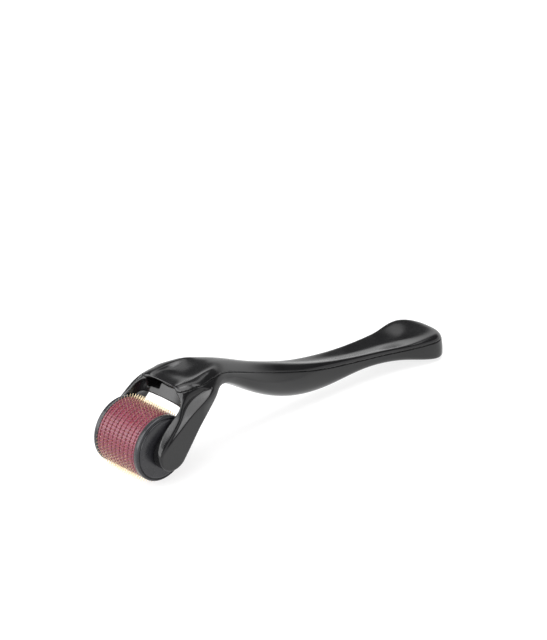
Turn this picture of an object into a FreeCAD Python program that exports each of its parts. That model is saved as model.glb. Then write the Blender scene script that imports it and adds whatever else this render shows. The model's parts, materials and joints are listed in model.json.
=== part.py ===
import FreeCAD, Part
import math
import os
from FreeCAD import Vector

# Derma roller, resting on a table: +X runs from the roller to the tail of the
# handle, +Y along the roller axle, +Z up. The origin is on the table, under
# the middle of the bounding box. Millimetres throughout.

# ---------------------------------------------------------------- dimensions
overall_length = 136.0
needle_tip_radius = 11.8         # also the height of the axle above the table
axle_x = needle_tip_radius - overall_length / 2
axle_z = needle_tip_radius

# needle drum
disc_count = 9
needles_per_disc = 60
disc_pitch = 1.78
disc_thickness = 0.28
needle_root_radius = 10.1
needle_root_width = 0.42
spacer_radius = 10.3
band_half_width = 8.0
core_radius = 6.0
core_half_length = 9.2
core_key_width = 1.6
core_key_height = 0.9
cap_radius = 10.4
cap_thickness = 2.25
cap_edge_chamfer = 0.7
cap_hub_radius = 2.8
cap_hub_height = 0.2

# axle
pin_radius = 1.25
pin_half_length = 12.4
running_clearance = 0.05

# fork arms
arm_inner_y = 10.6
arm_outer_y = 14.1
arm_radius = 5.4
arm_lean = math.radians(53.0)    # angle of the arms above the table
bore_depth = 2.2

# shells of the handle
wall = 1.6
cavity_start = 34.0              # distances along the handle are measured
cavity_end = 112.0               # from the axle
peg_radius = 1.1
peg_length = 2.6
peg_clearance = 0.08
peg_boss_radius = 2.2
peg_stations = (46.0, 70.0, 98.0)

# Stations of the head and handle, from the front lip to the tail:
# distance from axle, half width, underside height, height of the widest
# level, top height, depth of the dish in the top, squareness of the
# underside, squareness of the top
stations = (
    (9.4, 14.1, 21.6, 22.4, 28.4, 0.4, 5.0, 2.2),
    (12.5, 14.1, 21.8, 23.4, 29.2, 1.3, 4.6, 2.2),
    (16.0, 13.1, 22.5, 25.0, 29.6, 2.1, 4.0, 2.3),
    (20.0, 11.2, 23.5, 26.3, 29.6, 1.8, 3.2, 2.4),
    (24.5, 9.2, 23.2, 26.4, 28.8, 0.9, 2.7, 2.5),
    (30.0, 7.7, 20.4, 25.2, 27.0, 0.2, 2.4, 2.6),
    (42.0, 6.8, 14.2, 20.7, 22.0, 0.0, 2.2, 2.6),
    (54.0, 5.9, 7.9, 16.2, 17.8, 0.0, 2.1, 2.6),
    (66.0, 5.1, 4.6, 12.7, 14.2, 0.0, 2.1, 2.6),
    (78.0, 4.8, 3.1, 10.6, 12.0, 0.0, 2.1, 2.6),
    (90.0, 5.3, 3.2, 9.6, 10.8, 0.2, 2.2, 2.6),
    (100.0, 6.6, 2.4, 8.8, 10.0, 0.6, 2.3, 2.6),
    (108.0, 8.4, 1.0, 8.0, 9.3, 1.1, 2.4, 2.6),
    (114.0, 9.5, -0.2, 7.5, 9.0, 1.3, 2.5, 2.6),
    (118.5, 9.5, -0.2, 7.1, 8.7, 1.1, 2.5, 2.6),
    (121.8, 7.7, 0.5, 6.7, 8.1, 0.6, 2.4, 2.6),
    (123.5, 4.9, 1.6, 6.2, 7.4, 0.2, 2.2, 2.4),
    (124.2, 1.8, 3.0, 5.6, 6.4, 0.0, 2.0, 2.0),
)
section_points = 28
cavity_points = 12

# Parting line between the shells: distance from axle, height. Along the
# grip it runs just under the widest level.
parting = (
    (4.0, 26.8), (12.5, 26.4), (16.0, 26.0), (20.0, 26.1), (24.5, 26.0),
    (30.0, 24.7), (42.0, 20.2), (54.0, 15.7), (66.0, 12.2), (78.0, 10.1),
    (90.0, 9.1), (100.0, 8.3), (108.0, 7.5), (114.0, 7.0), (118.5, 6.6),
    (130.0, 5.7),
)

left = 1
right = -1


# ------------------------------------------------------------------- helpers
def power(value, exponent):
    return math.copysign(abs(value) ** exponent, value)


def smooth_curve(points, closed=False):
    curve = Part.BSplineCurve()
    curve.interpolate(points, PeriodicFlag=closed)
    return curve.toShape()


def turned(profile):
    """Solid of revolution about the axle from (radius, y) points."""
    points = [Vector(axle_x + radius, y, axle_z) for radius, y in profile]
    face = Part.Face(Part.makePolygon(points + points[:1]))
    return face.revolve(Vector(axle_x, 0, axle_z), Vector(0, 1, 0), 360)


def disc_solid(radius, y_low, y_high):
    base = Vector(axle_x, y_low, axle_z)
    return Part.makeCylinder(radius, y_high - y_low, base, Vector(0, 1, 0))


def box(x_low, x_high, y_low, y_high, z_low, z_high):
    size = (x_high - x_low, y_high - y_low, z_high - z_low)
    return Part.makeBox(*size, Vector(x_low, y_low, z_low))


def side_profile(edges, y_low, y_high):
    """Plate cut from a closed outline in the XZ plane."""
    wire = Part.Wire(edges)
    face = Part.Face(wire)
    face.translate(Vector(0, y_low, 0))
    return face.extrude(Vector(0, y_high - y_low, 0))


def arm_point(along, across, y):
    """Point in arm coordinates: along the arm, across it towards the rear."""
    x = along * math.cos(arm_lean) + across * math.sin(arm_lean)
    z = along * math.sin(arm_lean) - across * math.cos(arm_lean)
    return Vector(axle_x + x, y, axle_z + z)


# ------------------------------------------------------- head and handle form
def station_wire(station):
    distance, half_width, low, middle, high, dish, base, crown = station
    points = []
    for index in range(section_points):
        angle = 2 * math.pi * (index + 0.5) / section_points
        side, rise = math.cos(angle), math.sin(angle)
        roundness = 2 / (crown if rise > 0 else base)
        y = half_width * power(side, roundness)
        if rise > 0:
            hollow = max(0.0, 1 - (y / (0.85 * half_width)) ** 2) ** 2
            z = middle + (high - middle) * power(rise, roundness) - dish * hollow
        else:
            z = middle + (middle - low) * power(rise, roundness)
        points.append(Vector(axle_x + distance, y, z))
    return Part.Wire(smooth_curve(points, closed=True))


def between(distance):
    """Station values at any distance, on a straight line between stations."""
    for first, second in zip(stations, stations[1:]):
        if first[0] <= distance <= second[0]:
            share = (distance - first[0]) / (second[0] - first[0])
            return tuple(a + share * (b - a) for a, b in zip(first, second))
    return stations[-1]


def handle_form():
    return Part.makeLoft([station_wire(s) for s in stations], True, False)


def cavity_wire(station):
    """Ellipse inside a station's outline, a wall's thickness clear of it."""
    distance, half_width, low, middle, high, dish, base, crown = station
    centre = (low + high - dish) / 2
    wide, tall = half_width - wall, (high - dish - low) / 2 - wall
    points = []
    for index in range(cavity_points):
        angle = 2 * math.pi * index / cavity_points
        y, z = wide * math.cos(angle), centre + tall * math.sin(angle)
        points.append(Vector(axle_x + distance, y, z))
    return Part.Wire(smooth_curve(points, closed=True))


def handle_cavity():
    inner = [s for s in stations if cavity_start < s[0] < cavity_end]
    ends = [between(cavity_start), between(cavity_end)]
    rows = [ends[0]] + inner + [ends[1]]
    return Part.makeLoft([cavity_wire(s) for s in rows], True, False)


# ----------------------------------------------------------------- fork arms
def arm_plate(side):
    radius = arm_radius
    rear_low = arm_point(0, radius, 0)
    front_low = arm_point(0, -radius, 0)
    toe = arm_point(-radius, 0, 0)
    tip = Part.Arc(rear_low, toe, front_low).toShape()
    front_points = [
        front_low,
        arm_point(6.0, -4.8, 0),
        arm_point(10.0, -4.0, 0),
        arm_point(14.0, -3.1, 0),
        Vector(axle_x + 9.2, 0, axle_z + 14.2),
        Vector(axle_x + 12.4, 0, axle_z + 14.4),
    ]
    front = smooth_curve(front_points)
    crown_end = Vector(axle_x + 19.0, 0, axle_z + 14.2)
    rear_high = Vector(axle_x + 19.6, 0, axle_z + 12.4)
    rear_turn = arm_point(15.5, radius, 0)
    rear_knee = arm_point(19.0, radius + 0.25, 0)
    crown = Part.LineSegment(front_points[-1], crown_end).toShape()
    back = Part.LineSegment(crown_end, rear_high).toShape()
    knee = smooth_curve([rear_high, rear_knee, rear_turn])
    rear = Part.LineSegment(rear_turn, rear_low).toShape()
    edges = [tip, front, crown, back, knee, rear]
    y_low, y_high = sorted((side * arm_inner_y, side * arm_outer_y))
    return side_profile(edges, y_low, y_high)


def bevel_wedge(side):
    """Waste outside the slanting face that widens towards the head."""
    outside = side * (arm_outer_y + 2.0)
    outer = side * arm_outer_y
    sections = []
    for along, crease, front, front_y in (
        (-1.0, -5.0, -5.9, 13.7),
        (6.0, -2.7, -5.4, 12.9),
        (14.0, 1.2, -3.9, 11.9),
        (24.0, 6.2, -2.2, 10.8),
    ):
        corners = [
            arm_point(along, crease, outer),
            arm_point(along, crease, outside),
            arm_point(along, front - 9.0, outside),
            arm_point(along, front - 9.0, side * front_y),
            arm_point(along, front, side * front_y),
        ]
        sections.append(Part.makePolygon(corners + corners[:1]))
    return Part.makeLoft(sections, True, True)


def plan_prism():
    """The head's outline seen from above, a straight prism."""
    sides = [(axle_x + s[0], s[1]) for s in stations[1:5]]
    toe = axle_x - 10.0
    edges = []
    for side in (left, right):
        outline = [Vector(x, side * y, 0) for x, y in sides]
        corner = Vector(toe, side * arm_outer_y, 0)
        edges.append(Part.LineSegment(corner, outline[0]).toShape())
        edges.append(smooth_curve(outline))
    toes = [Vector(toe, side * arm_outer_y, 0) for side in (left, right)]
    heel = [Vector(sides[-1][0], side * sides[-1][1], 0) for side in (left, right)]
    edges.append(Part.LineSegment(*toes).toShape())
    edges.append(Part.LineSegment(*heel).toShape())
    face = Part.Face(Part.Wire(Part.__sortEdges__(edges)))
    return face.extrude(Vector(0, 0, 40))


def fork_arm(side):
    arm = arm_plate(side).cut(bevel_wedge(side)).common(plan_prism())
    y_low, y_high = sorted((side * (arm_inner_y - 1), side * (arm_inner_y + bore_depth)))
    return arm.cut(disc_solid(pin_radius + running_clearance, y_low, y_high))


# --------------------------------------------------------------- two shells
def upper_region():
    """Everything above the parting line, as wide as the object."""
    line = [Vector(axle_x + d, 0, z) for d, z in parting]
    curve = smooth_curve(line)
    first, last = line[0], line[-1]
    roof = 60.0
    corners = [last, Vector(last.x, 0, roof), Vector(first.x, 0, roof), first]
    edges = [curve]
    for a, b in zip(corners, corners[1:]):
        edges.append(Part.LineSegment(a, b).toShape())
    return side_profile(edges, -30.0, 30.0)


def parting_height(distance):
    for (d1, z1), (d2, z2) in zip(parting, parting[1:]):
        if d1 <= distance <= d2:
            return z1 + (z2 - z1) * (distance - d1) / (d2 - d1)
    return parting[-1][1]


def make_shells():
    form = handle_form()
    cavity = handle_cavity()
    region = upper_region()
    table = box(-100, 100, -30, 30, -20, 0)
    solid_form = form.cut(table)

    upper = solid_form.common(region).cut(cavity)
    lower_grip = solid_form.cut(region)
    # concave front wall below the lip, and the slot beside the latch
    scoop_radius = 17.0
    scoop_depth = 2.6
    scoop_x = axle_x + 9.4 + scoop_depth - scoop_radius
    scoop = Part.makeCylinder(scoop_radius, 12, Vector(scoop_x, 0, 18))
    scoop = scoop.common(box(-90, 0, -arm_inner_y, arm_inner_y, 10, 40))
    latch_slot = box(axle_x + 5, axle_x + 14.5, 2.0, 6.6, 23.6, 30)
    latch_tab = box(axle_x + 9.5, axle_x + 11.0, -5.4, 1.6, 25.0, 27.2)
    lower_grip = lower_grip.cut(scoop).cut(latch_slot).cut(latch_tab)
    upper = upper.fuse(latch_tab.common(form))

    lower = lower_grip.cut(cavity)
    for station in peg_stations:
        x = axle_x + station
        top = parting_height(station)
        post = Part.makeCylinder(peg_boss_radius, top, Vector(x, 0, 0))
        lower = lower.fuse(post.common(lower_grip))
        socket_base = Vector(x, 0, top - peg_length - 0.4)
        lower = lower.cut(Part.makeCylinder(peg_radius + peg_clearance, 6, socket_base))
        peg = Part.makeCylinder(peg_radius, 10, Vector(x, 0, top - peg_length))
        peg = peg.common(solid_form)
        upper = upper.fuse(peg)
    for side in (left, right):
        lower = lower.fuse(fork_arm(side).cut(region))
    return upper, lower


# --------------------------------------------------------------- needle drum
def key_solid():
    y = core_half_length
    top = core_radius + core_key_height
    half = core_key_width / 2
    return box(axle_x - half, axle_x + half, -y, y, axle_z, axle_z + top)


def make_core():
    core = disc_solid(core_radius, -core_half_length, core_half_length)
    core = core.fuse(key_solid())
    return core.cut(disc_solid(pin_radius, -30, 30)).removeSplitter()


def make_pin():
    end = pin_half_length
    bevel = 0.3
    return turned([
        (0, -end), (pin_radius - bevel, -end), (pin_radius, bevel - end),
        (pin_radius, end - bevel), (pin_radius - bevel, end), (0, end),
    ])


def make_needle_disc(number, core):
    y = (number - (disc_count + 1) / 2) * disc_pitch - disc_thickness / 2
    step = 2 * math.pi / needles_per_disc
    half_root = needle_root_width / 2 / needle_root_radius
    points = []
    for index in range(needles_per_disc):
        centre = index * step - math.pi / 2
        for radius, angle in (
            (needle_root_radius, centre - half_root),
            (needle_tip_radius, centre),
            (needle_root_radius, centre + half_root),
        ):
            x = axle_x + radius * math.cos(angle)
            z = axle_z + radius * math.sin(angle)
            points.append(Vector(x, y, z))
    face = Part.Face(Part.makePolygon(points + points[:1]))
    return face.extrude(Vector(0, disc_thickness, 0)).cut(core).cut(
        disc_solid(core_radius, -30, 30))


def spacer_limits(number):
    """Sides of one spacer ring, counted from the right-hand cap."""
    if number == 1:
        low = -band_half_width
    else:
        low = (number - 1 - (disc_count + 1) / 2) * disc_pitch + disc_thickness / 2
    if number == disc_count + 1:
        high = band_half_width
    else:
        high = (number - (disc_count + 1) / 2) * disc_pitch - disc_thickness / 2
    return low, high


def make_spacer(number, core):
    low, high = spacer_limits(number)
    ring = disc_solid(spacer_radius, low, high)
    return ring.cut(core).cut(disc_solid(core_radius, -30, 30))


def make_cap(side, core):
    inner = band_half_width
    outer = band_half_width + cap_thickness
    rim = cap_radius - cap_edge_chamfer
    face = outer - cap_edge_chamfer
    tip = outer + cap_hub_height
    cap = turned([
        (0, side * inner), (cap_radius, side * inner), (cap_radius, side * face),
        (rim, side * outer), (cap_hub_radius, side * outer),
        (cap_hub_radius, side * tip), (0, side * tip),
    ])
    bore = disc_solid(pin_radius, -30, 30)
    return cap.cut(core).cut(bore)


# -------------------------------------------------------------------- export
def export(name, shape):
    if shape.ShapeType == "Compound" and len(shape.Solids) == 1:
        shape = shape.Solids[0]
    count, valid = len(shape.Solids), shape.isValid()
    print(f"{name}: {count} solid(s), volume {shape.Volume:.2f} mm3, valid {valid}")
    shape.exportStep(f"parts/{name}.step")


os.makedirs("parts", exist_ok=True)
upper_shell, lower_shell = make_shells()
roller_core = make_core()
export("handle_upper_shell", upper_shell)
export("handle_lower_shell", lower_shell)
export("roller_core", roller_core)
export("axle_pin", make_pin())
for number in range(1, disc_count + 1):
    export(f"needle_disc_{number}", make_needle_disc(number, roller_core))
for number in range(1, disc_count + 2):
    export(f"spacer_ring_{number}", make_spacer(number, roller_core))
export("left_end_cap", make_cap(left, roller_core))
export("right_end_cap", make_cap(right, roller_core))
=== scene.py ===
import json
import math

import bpy
import numpy as np
from mathutils import Matrix, Vector


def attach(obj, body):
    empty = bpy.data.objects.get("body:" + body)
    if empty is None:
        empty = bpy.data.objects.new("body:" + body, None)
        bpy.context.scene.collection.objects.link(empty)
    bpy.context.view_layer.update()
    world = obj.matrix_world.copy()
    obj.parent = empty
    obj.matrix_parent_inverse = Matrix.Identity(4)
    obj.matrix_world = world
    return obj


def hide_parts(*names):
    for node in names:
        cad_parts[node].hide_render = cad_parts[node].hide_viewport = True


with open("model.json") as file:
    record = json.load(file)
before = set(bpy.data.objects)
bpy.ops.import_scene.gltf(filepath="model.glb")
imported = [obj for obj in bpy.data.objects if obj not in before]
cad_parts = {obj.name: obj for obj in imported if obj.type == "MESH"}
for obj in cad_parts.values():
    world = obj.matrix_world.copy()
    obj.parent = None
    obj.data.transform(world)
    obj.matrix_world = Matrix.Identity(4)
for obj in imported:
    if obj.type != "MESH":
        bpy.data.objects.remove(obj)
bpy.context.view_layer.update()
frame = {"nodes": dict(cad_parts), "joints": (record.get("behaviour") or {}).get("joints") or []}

# Shapes are worked out in millimetres: x from the axle towards the tail,
# y along the axle, z up from the table. MM turns them into metres.
MM = 0.001

axle = Vector(frame["joints"][0]["pos_m"])
axle_z = axle.z / MM
# the needles stand on the table
tip_radius = axle_z

# ------------------------------------------------------- sizes of the handle
arm_lean = math.radians(53.0)
lean_cos, lean_sin = math.cos(arm_lean), math.sin(arm_lean)
arm_inner_y = 10.6
arm_outer_y = 14.1
arm_top = 15.0              # above the axle
arm_radius = 5.5
# the round end of the arm is centred a little behind the axle
arm_end_shift = 0.8
# the arm's front face turns outwards from a line that runs along the inner
# edge and moves away from it towards the round end
facet_slope, facet_width = 0.48, 3.5
facet_line_start, facet_line_bend = 12.0, 0.012

# distance from the axle, half width, underside, widest level, top, depth of
# the hollow in the top, squareness of the underside, squareness of the top,
# how much the sides draw in towards the top
stations = (
    (9.4, 14.1, 21.6, 22.4, 28.0, 0.3, 5.0, 2.4, 0.0),
    (12.5, 14.1, 21.8, 23.4, 28.5, 1.0, 4.6, 2.4, 0.0),
    (16.0, 13.5, 22.5, 24.6, 28.8, 1.7, 4.0, 2.4, 0.0),
    (20.0, 12.2, 23.3, 25.2, 29.1, 1.6, 3.2, 2.4, 0.0),
    (24.5, 9.8, 23.2, 25.2, 28.9, 0.8, 2.7, 2.4, 0.10),
    (30.0, 7.9, 20.9, 23.7, 27.9, 0.2, 2.4, 2.3, 0.28),
    (42.0, 6.9, 13.5, 17.4, 23.1, 0.0, 2.2, 2.2, 0.40),
    (54.0, 6.0, 7.3, 11.8, 18.6, 0.15, 2.1, 2.6, 0.42),
    (66.0, 5.2, 3.8, 8.7, 14.8, 0.5, 2.1, 4.0, 0.28),
    (78.0, 4.9, 3.1, 7.4, 12.0, 0.9, 2.2, 7.0, 0.14),
    (90.0, 5.3, 4.0, 7.0, 10.1, 1.2, 2.3, 10.0, 0.06),
    (100.0, 6.4, 3.5, 6.4, 9.0, 1.4, 2.6, 12.0, 0.04),
    (108.0, 8.0, 2.1, 5.4, 8.4, 1.7, 3.2, 12.0, 0.05),
    (114.0, 9.5, 0.8, 4.2, 8.6, 1.9, 4.2, 11.0, 0.07),
    (118.5, 10.1, 0.2, 3.4, 8.5, 1.9, 5.5, 9.0, 0.10),
    (124.2, 10.1, 0.1, 3.0, 7.7, 1.8, 8.0, 7.0, 0.12),
)
# how quickly the sides draw in, and how far above the top they still do
draw_power, draw_limit = 1.4, 1.2
# the tail closes in plan between these distances
tail_start, tail_end, tail_squareness = 116.0, 124.15, 2.5
# the hollow in the top: its rim as a share of the half width, how blunt its
# bottom is, where its end at the tail begins and how square it is there
dish_rim, dish_bottom = 0.95, 0.22
bowl_start, bowl_squareness = 109.0, 2.8

# line between the two shells: distance from the axle, height
parting = (
    (4.0, 27.1), (12.5, 27.2), (16.0, 27.2), (20.0, 27.2), (24.5, 27.0),
    (30.0, 25.5), (42.0, 20.6), (54.0, 16.4), (66.0, 12.6), (78.0, 10.1),
    (90.0, 8.5), (100.0, 7.5), (108.0, 6.9), (114.0, 6.8), (118.5, 6.7),
    (130.0, 6.1),
)


# ------------------------------------------------------------- curve helpers
def curve_through(knots, values, finest=0.02):
    """Natural cubic through the knots, level beyond its ends."""
    x, y = np.array(knots, float), np.array(values, float)
    gap = np.diff(x)
    slope = np.diff(y) / gap
    count = len(x)
    system, right = np.eye(count), np.zeros(count)
    for i in range(1, count - 1):
        system[i, i - 1:i + 2] = gap[i - 1], 2 * (gap[i - 1] + gap[i]), gap[i]
        right[i] = 6 * (slope[i] - slope[i - 1])
    bend = np.linalg.solve(system, right)
    q = np.arange(x[0], x[-1] + finest, finest).clip(x[0], x[-1])
    i = np.clip(np.searchsorted(x, q) - 1, 0, count - 2)
    a = (x[i + 1] - q) / gap[i]
    b = 1 - a
    line = a * y[i] + b * y[i + 1]
    bow = ((a ** 3 - a) * bend[i] + (b ** 3 - b) * bend[i + 1]) * gap[i] ** 2 / 6
    return lambda at: np.interp(at, q, line + bow)


columns = list(zip(*stations))
station_curves = [curve_through(columns[0], column) for column in columns[1:]]
half_width_at, underside_at, dish_at = station_curves[0], station_curves[1], station_curves[4]
parting_at = curve_through(*zip(*parting))

# Arm coordinates: t runs up the arm from the axle, o from its front to its
# rear. Each curve here gives a place across the arm for a place up it.
arm_rear_at = curve_through(
    (-2, 0, 6, 11, 14.5, 18, 22), (6.3, 6.3, 6.3, 6.3, 6.6, 7.2, 7.8))
arm_front_at = curve_through(
    (-2, 0, 3, 6, 9, 12, 15, 20), (-4.7, -4.7, -4.4, -3.7, -2.8, -1.9, -1.3, -0.8))
# line on the side of the arm where the flat plate ends
crease_at = curve_through((-5, 0, 7.5, 13, 18, 22.5), (-3.8, -3.1, -1.0, 0.8, 3.4, 6.9))
# how far out the scooped front of the arm stands
scoop_at = curve_through(
    (-6, 0, 5, 10, 13.3, 16.5, 20, 26), (14.0, 13.8, 13.2, 12.2, 11.1, 10.3, 10.0, 10.0))
scoop_tilt = 0.08
# at its upper end the scoop runs out into the flank of the head
scoop_end, scoop_rise = (20.5, 24.5), 4.0

# edge between the top of the head and its flanks: how far out, how high
ridge_stations = (6, 11.3, 15.5, 19.3, 24.1, 30, 36)
ridge_y_at = curve_through(ridge_stations, (10.6, 10.3, 9.8, 8.9, 7.7, 8.0, 10.0))
ridge_z_at = curve_through(ridge_stations, (26.3, 27.1, 27.8, 28.1, 28.2, 27.8, 26.6))
flank_slope = 0.9
# the plate stands a little above the flank and sinks into it at its end
plate_end, plate_rise = (20.0, 24.5), 0.8
# inner faces of the arms arch together under the head
arch_foot, arch_radius = 22.5, 4.0

# front edge of the head: distance from the axle at a height, and its lean
lip_start, lip_height, lip_lean = 8.8, 21.6, 0.06
# pocket in front of the bridge: height of its mouth, how far above that it
# still cuts, how far down it widens, its floor
pocket_top, pocket_above, pocket_depth, pocket_floor = 27.0, 0.1, 9.0, 14.0
# its back wall: distance from the axle at the mouth, lean, radius of its bow
pocket_wall, pocket_wall_lean, pocket_wall_bow = 12.2, 0.55, 40.0
# its middle and half width at the mouth, and how both change downwards
pocket_middle, pocket_shift = -0.6, -0.15
pocket_half_width, pocket_spread = 5.9, 0.45
slot_low, slot_high = (2.0, 3.0, 23.6), (14.5, 6.6, 27.0)

# rounding of edges and fillets, by where they are
lip_round, arm_top_round, arch_round = 1.0, 3.0, 0.5
head_fillet, opening_fillet, opening_round = 6.0, 6.0, 0.6
plate_round, scoop_fillet, scoop_round = 2.0, 3.0, 0.5
pocket_round, pocket_corner = 0.5, 2.5
slot_round, slot_mouth_round = 0.3, 0.4
# the edges of the sides grow rounder between two heights
side_round, side_round_growth, side_round_heights = 0.6, 2.4, (23.5, 26.5)
side_steepness = 1.2
# ledge between plate and scoop: where it starts ahead of the crease, its width,
# and how much wider a higher ledge is
ledge_start, ledge_width, ledge_spread = -0.05, 0.35, 0.25

# the parting surface dips under the hollows in the top
parting_dip, parting_dip_width = 1.2, 0.75
seam_half_width, seam_edge = 0.015, 0.12


def smooth_max(a, b, radius):
    """Larger of two fields, its edge rounded."""
    near = np.clip(radius - np.abs(a - b), 0, None) / radius
    return np.maximum(a, b) + near ** 3 * radius / 6


def smooth_min(a, b, radius):
    """Smaller of two fields, the corner filled."""
    return -smooth_max(-a, -b, radius)


def ease(value, start, end):
    """Smooth step from 0 at the start to 1 at the end."""
    share = np.clip((value - start) / (end - start), 0, 1)
    return share * share * (3 - 2 * share)


def box_field(p, low, high, radius):
    """Box with rounded edges."""
    low, high = np.array(low), np.array(high)
    q = np.abs(p - (low + high) / 2) - (high - low) / 2 + radius
    outside = np.sqrt((np.clip(q, 0, None) ** 2).sum(1))
    return outside + np.clip(q.max(1), None, 0) - radius


# ------------------------------------------------------ field of the handle
def grip_field(d, y, z):
    """Sections of the head and grip, closed by a round tail."""
    w, low, middle, high, dish, base, crown, draw = (curve(d) for curve in station_curves)
    up = np.clip((z - middle) / (high - middle), 0, draw_limit)
    w = w * (1 - draw * up ** draw_power)
    side = np.abs(y) / w
    rise = z - middle
    above = rise > 0
    tall = np.where(above, high - middle, middle - low)
    n = np.where(above, crown, base)
    end = np.clip(d - tail_start, 0, None) / (tail_end - tail_start)
    plan = (side ** tail_squareness + end ** tail_squareness) ** (1 / tail_squareness)
    bowl_end = np.clip(d - bowl_start, 0, None) / (tail_end - bowl_start)
    bowl = (side ** bowl_squareness + bowl_end ** bowl_squareness) ** (1 / bowl_squareness)
    cone = np.hypot(bowl / dish_rim, dish_bottom) / math.hypot(1, dish_bottom)
    hollow = np.clip(1 - cone, 0, None)
    level = np.clip(np.where(above, rise + dish * hollow, -rise), 0, None) / tall
    reach = (plan ** n + level ** n) ** (1 / n) + 1e-6
    across = (plan / reach) ** (n - 1) / np.minimum(w, tail_end - tail_start)
    upward = (level / reach) ** (n - 1) / tall
    return (reach - 1) / np.sqrt(across ** 2 + upward ** 2 + 1e-9)


def arm_outline(t, o, side):
    """The arm seen from the side, round at its tip, with its front face
    turned outwards."""
    start = arm_inner_y + facet_line_bend * np.clip(facet_line_start - t, 0, None) ** 2
    turned = facet_slope * np.clip(side - start, 0, facet_width)
    front, rear = arm_front_at(t) + turned, arm_rear_at(t)
    middle, half = (rear + front) / 2, (rear - front) / 2
    straight = np.abs(o - middle) - half
    behind = o - arm_end_shift
    radius = np.hypot(t, behind) + 1e-6
    tip = radius - arm_radius + turned * (1 - behind / radius) / 2
    return np.where(t > 0, straight, tip)


def side_level(d, z, t, o):
    """How far out the side stands: a flat plate behind the crease, and in
    front of it a step down into a scoop that runs up into the flank."""
    flank = ridge_y_at(d) + flank_slope * (ridge_z_at(d) - z)
    raised = flank + plate_rise * (1 - ease(t, *plate_end))
    plate = smooth_min(np.minimum(arm_outer_y, half_width_at(d)), raised, plate_round)
    scoop = scoop_at(t) + scoop_tilt * (o - arm_front_at(t))
    scoop = scoop + scoop_rise * ease(t, *scoop_end)
    scoop = smooth_min(smooth_min(scoop, flank, scoop_fillet), plate, scoop_round)
    ahead = crease_at(t) - o
    share = ease(ahead, ledge_start, ledge_width + ledge_spread * (plate - scoop))
    return plate + (scoop - plate) * share


def handle_field(p):
    """Below zero inside the handle, roughly in millimetres."""
    d, y, z = p[:, 0], p[:, 1], p[:, 2]
    height = z - axle_z
    t = d * lean_cos + height * lean_sin
    o = d * lean_sin - height * lean_cos
    side = np.abs(y)

    lip = lip_start + lip_lean * (z - lip_height)
    head = smooth_max(grip_field(d, y, z), lip - d, lip_round)
    arm = smooth_max(arm_outline(t, o, side), height - arm_top, arm_top_round)
    # stopped short of the crown, where the arch would be level
    bow = np.clip(z - arch_foot, 0, arch_radius - 0.1)
    inner = arm_inner_y - arch_radius + np.sqrt(arch_radius ** 2 - bow ** 2)
    arm = smooth_max(arm, inner - side, arch_round)
    body = smooth_min(head, arm, head_fillet)
    opening = smooth_max(side - arm_inner_y, z - underside_at(d), opening_fillet)
    body = smooth_max(body, -opening, opening_round)
    edge = side_round + side_round_growth * ease(z, *side_round_heights)
    body = smooth_max(body, (side - side_level(d, z, t, o)) / side_steepness, edge)

    # pocket in front of the bridge, and the slot in its back wall
    down = np.clip(pocket_top - z, 0, pocket_depth)
    wall = pocket_wall - y ** 2 / (2 * pocket_wall_bow) - pocket_wall_lean * (pocket_top - z)
    pocket = smooth_max(d - wall, z - pocket_top - pocket_above, pocket_round)
    across = np.abs(y - pocket_middle - pocket_shift * down)
    across = across - pocket_half_width - pocket_spread * down
    pocket = smooth_max(pocket, across, pocket_corner)
    pocket = smooth_max(pocket, pocket_floor - z, pocket_round)
    pocket = smooth_max(pocket, side - arm_inner_y, pocket_round)
    body = smooth_max(body, -pocket, pocket_round)
    slot = box_field(p, slot_low, slot_high, slot_round)
    return smooth_max(body, -slot, slot_mouth_round)


def split_field(p, upward):
    """Half of the handle above (1) or below (-1) the parting line, with a
    fine groove between the halves."""
    d, z = p[:, 0], p[:, 2]
    step = 0.05
    fall = (parting_at(d + step) - parting_at(d - step)) / (2 * step)
    end = np.clip(d - tail_start, 0, None) / (tail_end - tail_start)
    plan = np.sqrt((p[:, 1] / half_width_at(d)) ** 2 + end ** 2)
    dip = np.clip(1 - (plan / parting_dip_width) ** 2, 0, None) ** 2
    sunk = (parting_dip + dish_at(d)) * dip
    away = upward * (parting_at(d) - sunk - z) / np.sqrt(1 + fall ** 2)
    return smooth_max(handle_field(p), away + seam_half_width, seam_edge)


# ------------------------------------------------------- mesh from a field
# points along the side of a block, how near the surface a block is worked out
# closely, and how many batches that is done in
block, near_surface, batches = 4, 2.2, 12


def field_values(field, axes):
    """Field on a grid, worked out closely only near its surface: first once
    for each block of points, then for each point of the blocks near it."""
    to_middle = (block - 1) / 2
    coarse_axes = [axis[::block] + (axis[1] - axis[0]) * to_middle for axis in axes]
    points = np.stack(np.meshgrid(*coarse_axes, indexing="ij"), -1)
    coarse = field(points.reshape(-1, 3)).reshape(points.shape[:3])
    fine = coarse
    for direction in range(3):
        fine = np.repeat(fine, block, axis=direction)
    fine = fine.copy()
    chosen = np.nonzero(np.abs(fine) < near_surface)
    near = np.stack([axis[i] for axis, i in zip(axes, chosen)], -1)
    fine[chosen] = np.concatenate([field(part) for part in np.array_split(near, batches)])
    return fine


def gradient(field, points, reach=0.01):
    """Slope of a field at the points."""
    result = np.zeros_like(points)
    for axis in range(3):
        shift = np.zeros(3)
        shift[axis] = reach
        result[:, axis] = (field(points + shift) - field(points - shift)) / (2 * reach)
    return result


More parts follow.
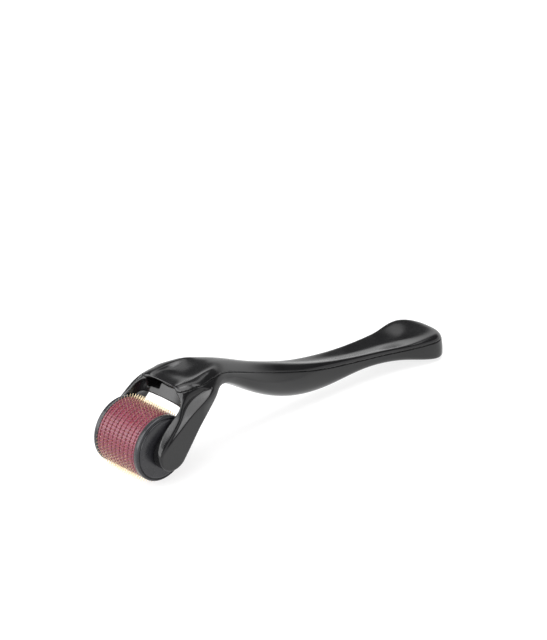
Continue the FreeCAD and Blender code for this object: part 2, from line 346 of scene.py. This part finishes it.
def surface(field, low, high, step):
    """Points and four-sided faces on the zero level of a field."""
    axes = []
    for a, b in zip(low, high):
        count = block * (math.ceil((b - a) / step / block) + 1)
        axes.append(a + step * np.arange(count))
    values = field_values(field, axes)
    inside = values < 0
    cells = [n - 1 for n in values.shape]
    total = np.zeros(cells, np.int8)
    for i in range(2):
        for j in range(2):
            for k in range(2):
                total += inside[i:i + cells[0], j:j + cells[1], k:k + cells[2]]
    chosen = np.nonzero((total > 0) & (total < 8))
    index = np.full(cells, -1, int)
    index[chosen] = np.arange(len(chosen[0]))
    points = np.stack([axis[i] + step / 2 for axis, i in zip(axes, chosen)], -1)

    faces = []
    for axis in range(3):
        u, v = (axis + 1) % 3, (axis + 2) % 3
        first = np.moveaxis(inside, axis, 0)
        crossing = np.moveaxis(first[:-1] != first[1:], 0, axis)
        at = np.argwhere(crossing)
        at = at[(at[:, u] > 0) & (at[:, v] > 0)]
        starts_inside = inside[tuple(at.T)]
        corners = []
        for du, dv in ((1, 1), (0, 1), (0, 0), (1, 0)):
            cell = at.copy()
            cell[:, u] -= du
            cell[:, v] -= dv
            corners.append(index[tuple(cell.T)])
        quads = np.stack(corners, -1)
        quads[~starts_inside] = quads[~starts_inside][:, ::-1]
        faces.append(quads)
    faces = np.concatenate(faces)
    return settle(field, points, faces, step), faces


evening_rounds, evening_share, last_moves = 4, 0.6, 3


def settle(field, points, faces, step):
    """Evens out the points and moves them onto the surface."""
    ends = np.concatenate([faces[:, [i, (i + 1) % 4]] for i in range(4)])
    weight = np.bincount(ends[:, 0], minlength=len(points))[:, None]
    for turn in range(evening_rounds + 1):
        evening = turn < evening_rounds
        if evening:
            around = np.stack([
                np.bincount(ends[:, 0], points[ends[:, 1], axis], len(points))
                for axis in range(3)], -1)
            points = (1 - evening_share) * points + evening_share * around / weight
        for _ in range(1 if evening else last_moves):
            slope = gradient(field, points)
            steep = np.clip((slope ** 2).sum(1), 0.05, None)
            move = -field(points)[:, None] * slope / steep[:, None]
            points = points + np.clip(move, -step, step)
    return points


# ------------------------------------------------------------ mesh helpers
def mesh_object(name, points, faces):
    """Object from points in millimetres, measured from the axle in x."""
    world = np.array(points, float) * MM
    world[:, 0] += axle.x
    mesh = bpy.data.meshes.new(name)
    mesh.from_pydata(world.tolist(), [], faces)
    mesh.validate()
    mesh.update()
    mesh.polygons.foreach_set("use_smooth", [True] * len(mesh.polygons))
    made = bpy.data.objects.new(name, mesh)
    bpy.context.scene.collection.objects.link(made)
    return made


def place(made, body, slot, material, *nodes):
    """Gives a piece its finish and its body, and hides the CAD nodes it stands for."""
    made.data.materials.append(material)
    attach(made, body)
    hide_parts(*nodes)


def ring_grid(rows, columns):
    """Faces of a closed tube of rings: rows around the section, columns
    around the axle."""
    i, j = np.meshgrid(np.arange(rows), np.arange(columns), indexing="ij")
    i2, j2 = (i + 1) % rows, (j + 1) % columns
    quads = [i * columns + j, i * columns + j2, i2 * columns + j2, i2 * columns + j]
    return np.stack(quads, -1).reshape(-1, 4)


def around_axle(radius, angle, y):
    """Points at a radius and an angle about the axle."""
    x = radius * np.cos(angle)
    z = axle_z + radius * np.sin(angle)
    return np.stack(np.broadcast_arrays(x, y, z), -1)


# --------------------------------------------------------------- materials
def new_material(name):
    """New material, its node tree and its shader."""
    material = bpy.data.materials.new(name)
    material.use_nodes = True
    tree = material.node_tree
    return material, tree, tree.nodes["Principled BSDF"]


def object_noise(tree, size, detail=3.0, stretch=(1, 1, 1)):
    """Noise with features of about the given size in metres."""
    where = tree.nodes.new("ShaderNodeTexCoord")
    mapping = tree.nodes.new("ShaderNodeMapping")
    mapping.inputs["Scale"].default_value = [s / size for s in stretch]
    noise = tree.nodes.new("ShaderNodeTexNoise")
    noise.inputs["Scale"].default_value = 1.0
    noise.inputs["Detail"].default_value = detail
    tree.links.new(where.outputs["Object"], mapping.inputs["Vector"])
    tree.links.new(mapping.outputs["Vector"], noise.inputs["Vector"])
    return noise.outputs["Fac"]


def ramp(tree, source, low, high, start, end):
    """Colour or value that runs from low to high as the source rises."""
    node = tree.nodes.new("ShaderNodeMapRange")
    node.inputs["From Min"].default_value = start
    node.inputs["From Max"].default_value = end
    node.inputs["To Min"].default_value = low
    node.inputs["To Max"].default_value = high
    tree.links.new(source, node.inputs["Value"])
    return node.outputs["Result"]


def colour_ramp(tree, source, stops):
    """Colour that follows the stops as the source rises."""
    node = tree.nodes.new("ShaderNodeValToRGB")
    elements = node.color_ramp.elements
    while len(elements) < len(stops):
        elements.new(0.5)
    for element, (position, colour) in zip(elements, stops):
        element.position = position
        element.color = (*colour, 1)
    tree.links.new(source, node.inputs["Fac"])
    return node.outputs["Color"]


def bump(tree, source, height, normal=None):
    """Normal of a surface raised by the source, over an earlier one."""
    node = tree.nodes.new("ShaderNodeBump")
    node.inputs["Distance"].default_value = height
    tree.links.new(source, node.inputs["Height"])
    if normal:
        tree.links.new(normal, node.inputs["Normal"])
    return node.outputs["Normal"]


def black_plastic(name, colour, roughness):
    """Glossy moulded plastic with faint ripples, handling marks and wear."""
    material, tree, shader = new_material(name)
    shader.inputs["IOR"].default_value = 1.43
    marks = object_noise(tree, 6 * MM, 6.0)
    hairlines = object_noise(tree, 0.25 * MM, 2.0, (0.03, 1, 1))
    ripple = object_noise(tree, 2.5 * MM, 2.0)
    grain = object_noise(tree, 0.12 * MM, 2.0)
    tints = [(0.3, [c * 0.8 for c in colour]), (0.7, [c * 1.25 for c in colour])]
    tree.links.new(colour_ramp(tree, marks, tints), shader.inputs["Base Color"])
    worn = ramp(tree, marks, roughness * 0.85, roughness * 1.25, 0.35, 0.7)
    tree.links.new(worn, shader.inputs["Roughness"])
    normal = bump(tree, ripple, 0.006 * MM)
    normal = bump(tree, hairlines, 0.0012 * MM, normal)
    normal = bump(tree, grain, 0.0006 * MM, normal)
    tree.links.new(normal, shader.inputs["Normal"])
    return material


def pink_plastic():
    """Moulded plastic with a faint cloud in its colour."""
    material, tree, shader = new_material("pink_spacer_plastic")
    shader.inputs["IOR"].default_value = 1.49
    cloud = object_noise(tree, 3 * MM, 4.0)
    tints = [(0.3, (0.116, 0.0175, 0.034)), (0.7, (0.140, 0.022, 0.043))]
    tree.links.new(colour_ramp(tree, cloud, tints), shader.inputs["Base Color"])
    tree.links.new(ramp(tree, cloud, 0.26, 0.38, 0.3, 0.7), shader.inputs["Roughness"])
    grain = object_noise(tree, 0.2 * MM, 3.0)
    tree.links.new(bump(tree, grain, 0.003 * MM), shader.inputs["Normal"])
    shader.inputs["Subsurface Weight"].default_value = 0.1
    shader.inputs["Subsurface Scale"].default_value = 0.6 * MM
    return material


def metal(name, dark, light, roughness, grain_size):
    """Metal with fine drawn grain and slight colour variation."""
    material, tree, shader = new_material(name)
    shader.inputs["Metallic"].default_value = 1.0
    cloud = object_noise(tree, 1.5 * MM, 3.0)
    tree.links.new(colour_ramp(tree, cloud, [(0.3, dark), (0.7, light)]),
                   shader.inputs["Base Color"])
    grain = object_noise(tree, grain_size, 3.0)
    spread = ramp(tree, grain, roughness * 0.8, roughness * 1.3, 0.3, 0.7)
    tree.links.new(spread, shader.inputs["Roughness"])
    tree.links.new(bump(tree, grain, 0.001 * MM), shader.inputs["Normal"])
    return material


def core_plastic():
    """Dull natural plastic of the hidden core."""
    material, tree, shader = new_material("natural_core_plastic")
    shader.inputs["IOR"].default_value = 1.5
    cloud = object_noise(tree, 2 * MM, 4.0)
    tints = [(0.3, (0.50, 0.49, 0.46)), (0.7, (0.60, 0.59, 0.56))]
    tree.links.new(colour_ramp(tree, cloud, tints), shader.inputs["Base Color"])
    tree.links.new(ramp(tree, cloud, 0.5, 0.7, 0.3, 0.7), shader.inputs["Roughness"])
    grain = object_noise(tree, 0.3 * MM, 3.0)
    tree.links.new(bump(tree, grain, 0.01 * MM), shader.inputs["Normal"])
    return material


# ------------------------------------------------------------------- handle
# room for the handle in the grid
grid_low, grid_high = (-6.5, -15.0, -0.8), (125.5, 15.0, 31.0)


def build_handle():
    """Both shells, each from its half of the handle's field."""
    step = 0.28
    plastic = black_plastic("gloss_black_handle", (0.006, 0.006, 0.0065), 0.17)
    for name, upward, node in (
        ("handle_top_cover", 1, "handle_upper_shell"),
        ("handle_main_shell", -1, "handle_lower_shell"),
    ):
        points, faces = surface(lambda p: split_field(p, upward), grid_low, grid_high, step)
        made = mesh_object(name, points, faces.tolist())
        place(made, "handle", "handle_plastic", plastic, node)


# -------------------------------------------------------------- needle drum
disc_count = 9
needles_per_disc = 60
disc_pitch = 1.78
disc_thickness = 0.28
disc_inset = 0.01            # play of a disc in its gap
disc_facets = needles_per_disc * 4
spacer_inner, spacer_radius, spacer_edge = 9.9, 10.3, 0.12
spacer_facets, spacer_rows = needles_per_disc * 12, 7
band_half_width = 8.0
seam_gap = 0.035
# the seat of each needle in the pink band
seat_depth, seat_radius, seat_steepness = 0.3, 0.34, 2.2

# distance from the axle and radius of a needle
needle_taper = ((9.5, 0.09), (10.6, 0.09), (11.2, 0.075), (11.55, 0.045), (11.7, 0.02))
needle_sides = 8
tip_shortfall, root_length = 0.04, 0.1
# ring that carries a row of needles
disc_inner, disc_outer = 8.7, 9.6

# section of an end cap: distance from the axle, distance from the middle of
# the drum. A bore, a flat back, a rounded rim, a groove, the face and a hub.
cap_outline = (
    (1.3, 8.05), (10.3, 8.05), (10.4, 8.15), (10.4, 9.3), (10.34, 9.5), (10.2, 9.66),
    (9.95, 9.8), (9.8, 9.82), (9.7, 9.76), (9.62, 9.55), (9.5, 9.52), (9.42, 9.6),
    (9.36, 9.85), (9.2, 10.02), (8.9, 10.1), (8.4, 10.14), (4.0, 10.2), (3.1, 10.2),
    (2.9, 10.24), (2.8, 10.4), (2.7, 10.44), (1.4, 10.44), (1.3, 10.38),
)
cap_facets = 240


def full_turn(count):
    """Angles of evenly spaced points round a circle."""
    return np.arange(count) * 2 * math.pi / count


def disc_middle(number):
    """Where a row of needles stands along the axle."""
    return (number - (disc_count + 1) / 2) * disc_pitch


def spacer_limits(number):
    """Both ends of a pink ring along the axle."""
    low = disc_middle(number - 1) if number > 1 else -band_half_width
    high = disc_middle(number) if number <= disc_count else band_half_width
    return low + seam_gap, high - seam_gap


def build_spacer(number, material):
    """Ring with rounded edges and a small seat beside each needle."""
    low, high = spacer_limits(number)
    edge = spacer_edge
    angle = full_turn(spacer_facets)
    apart = 2 * math.pi / needles_per_disc
    offset = (angle - math.pi / 2 + apart / 2) % apart
    offset = (offset - apart / 2) * spacer_radius
    profile = [(spacer_inner, low), (spacer_radius - edge, low)]
    lifts = [math.radians(lift) for lift in (30, 60)]
    rounding = [(edge * (1 - math.sin(lift)), edge * (1 - math.cos(lift))) for lift in lifts]
    profile += [(spacer_radius - back, low + inward) for back, inward in rounding]
    for share in np.linspace(0, 1, spacer_rows):
        profile.append((spacer_radius, low + edge + share * (high - low - 2 * edge)))
    profile += [(spacer_radius - back, high - inward) for back, inward in reversed(rounding)]
    profile += [(spacer_radius - edge, high), (spacer_inner, high)]
    rows = []
    for radius, y in profile:
        dip = 0.0
        if radius > spacer_inner:
            for side, has_needles in ((low, number > 1), (high, number <= disc_count)):
                if has_needles:
                    away = np.sqrt(offset ** 2 + (y - side) ** 2)
                    dip = dip + seat_depth * np.exp(-(away / seat_radius) ** 2 * seat_steepness)
        rows.append(around_axle(radius - dip, angle, y))
    faces = ring_grid(len(profile), spacer_facets)[:, ::-1].tolist()
    made = mesh_object(f"spacer_band_{number}", np.concatenate(rows), faces)
    place(made, "roller", "spacer_plastic", material, f"spacer_ring_{number}")


def needle_faces(first):
    """Faces of one needle: rings along its taper, then its tip and root."""
    sides = needle_sides
    tip = first + len(needle_taper) * sides
    last = tip - sides
    pairs = [(s, (s + 1) % sides) for s in range(sides)]
    faces = []
    for ring in range(first, last, sides):
        faces += [(ring + a, ring + b, ring + b + sides, ring + a + sides) for a, b in pairs]
    for a, b in pairs:
        faces += [(last + a, last + b, tip), (first + b, first + a, tip + 1)]
    return faces


def build_needles(number, material):
    """One row: a thin ring that carries sixty tapered needles."""
    middle = disc_middle(number)
    half = disc_thickness / 2 - disc_inset
    angle = full_turn(disc_facets)
    band = [(disc_inner, -half), (disc_outer, -half), (disc_outer, half), (disc_inner, half)]
    points = [around_axle(np.full(disc_facets, r), angle, middle + y) for r, y in band]
    faces = ring_grid(len(band), disc_facets)[:, ::-1].tolist()
    count = len(band) * disc_facets
    turn = full_turn(needle_sides)
    for lean in full_turn(needles_per_disc) - math.pi / 2:
        outward, sideways = (math.cos(lean), math.sin(lean)), (-math.sin(lean), math.cos(lean))
        for radius, thick in needle_taper:
            across = thick * np.cos(turn)
            along = np.clip(thick * np.sin(turn), -half, half)
            x = radius * outward[0] + across * sideways[0]
            z = axle_z + radius * outward[1] + across * sideways[1]
            points.append(np.stack([x, middle + along, z], -1))
        for radius in (tip_radius - tip_shortfall, needle_taper[0][0] - root_length):
            points.append([[radius * outward[0], middle, axle_z + radius * outward[1]]])
        faces += needle_faces(count)
        count += len(needle_taper) * needle_sides + 2
    made = mesh_object(f"needle_row_{number}", np.concatenate(points), faces)
    place(made, "roller", "needle_metal", material, f"needle_disc_{number}")


def build_cap(name, side, node, material):
    """Moulded end cap: a rim, a groove just inside it and a low hub."""
    angle = full_turn(cap_facets)
    points = np.concatenate([
        around_axle(np.full(cap_facets, r), angle, side * y) for r, y in cap_outline])
    faces = ring_grid(len(cap_outline), cap_facets)
    if side > 0:
        faces = faces[:, ::-1]
    place(mesh_object(name, points, faces.tolist()), "roller", "cap_plastic", material, node)


def build_drum():
    """Everything that turns about the axle."""
    pink = pink_plastic()
    gold = metal("gold_needle_metal", (0.70, 0.54, 0.32), (0.92, 0.78, 0.54), 0.30, 0.1 * MM)
    cap = black_plastic("satin_black_cap", (0.018, 0.018, 0.021), 0.26)
    for number in range(1, disc_count + 2):
        build_spacer(number, pink)
    for number in range(1, disc_count + 1):
        build_needles(number, gold)
    build_cap("right_cap_face", -1, "right_end_cap", cap)
    build_cap("left_cap_face", 1, "left_end_cap", cap)
    steel = metal("ground_axle_steel", (0.50, 0.50, 0.51), (0.68, 0.68, 0.70), 0.3, 0.08 * MM)
    for node, material in (("axle_pin", steel), ("roller_core", core_plastic())):
        data = frame["nodes"][node].data
        data.materials.clear()
        data.materials.append(material)


# ------------------------------------------------------------------- studio
def floor_material():
    """Pale and almost free of shadow, as a lit table is."""
    material, tree, shader = new_material("pale_floor")
    grain = object_noise(tree, 4 * MM, 3.0)
    tints = [(0.3, (0.29, 0.29, 0.29)), (0.7, (0.31, 0.31, 0.31))]
    tree.links.new(colour_ramp(tree, grain, tints), shader.inputs["Base Color"])
    shader.inputs["Roughness"].default_value = 0.9
    shader.inputs["Specular IOR Level"].default_value = 0.1
    shader.inputs["Emission Color"].default_value = (1, 1, 1, 1)
    shader.inputs["Emission Strength"].default_value = 0.79
    return material


def build_floor():
    """Floor far wider than the picture, just under the object."""
    size, at = 40.0, -0.0002
    mesh = bpy.data.meshes.new("studio_floor")
    corners = [(-size, -size, at), (size, -size, at), (size, size, at), (-size, size, at)]
    mesh.from_pydata(corners, [], [(0, 1, 2, 3)])
    floor = bpy.data.objects.new("studio_floor", mesh)
    floor.data.materials.append(floor_material())
    bpy.context.scene.collection.objects.link(floor)


def softbox(name, towards, distance, width, height, radiance):
    """Area light that faces the object from the given direction."""
    data = bpy.data.lights.new(name, "AREA")
    data.shape = "RECTANGLE"
    data.size, data.size_y = width, height
    data.energy = radiance * width * height * math.pi
    lamp = bpy.data.objects.new(name, data)
    direction = Vector(towards).normalized()
    lamp.location = Vector((0, 0, 0.01)) + direction * distance
    lamp.rotation_euler = direction.to_track_quat("Z", "Y").to_euler()
    lamp.visible_camera = False
    bpy.context.scene.collection.objects.link(lamp)


def build_world():
    """Air of a light tent: bright low down, dark overhead."""
    world = bpy.data.worlds.new("studio_air")
    world.use_nodes = True
    tree = world.node_tree
    background = tree.nodes["Background"]
    where = tree.nodes.new("ShaderNodeTexCoord")
    split = tree.nodes.new("ShaderNodeSeparateXYZ")
    tree.links.new(where.outputs["Generated"], split.inputs["Vector"])
    stops = [(0.0, (0.95, 0.95, 0.95)), (0.28, (1, 1, 1)), (0.37, (0.09, 0.09, 0.09)),
             (1.0, (0.14, 0.14, 0.14))]
    tree.links.new(colour_ramp(tree, split.outputs["Z"], stops), background.inputs["Color"])
    background.inputs["Strength"].default_value = 1.12
    bpy.context.scene.world = world


# direction, distance, width, height, radiance
softboxes = {
    "left_softbox": ((-0.85, 0.22, 0.48), 1.7, 2.8, 1.6, 4.2),
    "high_left_softbox": ((-0.53, 0.05, 0.85), 1.7, 0.7, 0.7, 3.6),
    "overhead_softbox": ((0.05, 0.0, 1.0), 1.5, 1.5, 1.5, 3.8),
    "far_softbox": ((0.44, 0.42, 0.79), 2.2, 0.9, 0.9, 1.5),
}


def build_lights():
    """Light tent and the softboxes in it."""
    build_world()
    for name, setting in softboxes.items():
        softbox(name, *setting)


def build_camera():
    """Seen from the roller's end, 44 degrees round and 26 degrees above."""
    azimuth, elevation = math.radians(-44.0), math.radians(26.0)
    distance = 1.30
    # the middle of the picture lies behind and above the drum
    shift_right, shift_up = 0.0397, 0.0353
    back = Vector((math.sin(azimuth) * math.cos(elevation),
                   -math.cos(azimuth) * math.cos(elevation), math.sin(elevation)))
    right = Vector((math.cos(azimuth), math.sin(azimuth), 0))
    up = back.cross(right)
    middle = axle + right * shift_right + up * shift_up
    data = bpy.data.cameras.new("studio_camera")
    data.sensor_width = 36.0
    data.lens = 244.2
    data.clip_start, data.clip_end = 0.05, 200.0
    camera = bpy.data.objects.new("studio_camera", data)
    turn = Matrix((right, up, back)).transposed()
    camera.matrix_world = Matrix.Translation(middle + back * distance) @ turn.to_4x4()
    bpy.context.scene.collection.objects.link(camera)
    bpy.context.scene.camera = camera


build_camera()
build_handle()
build_drum()
build_floor()
build_lights()
bpy.context.scene.view_settings.view_transform = "Standard"
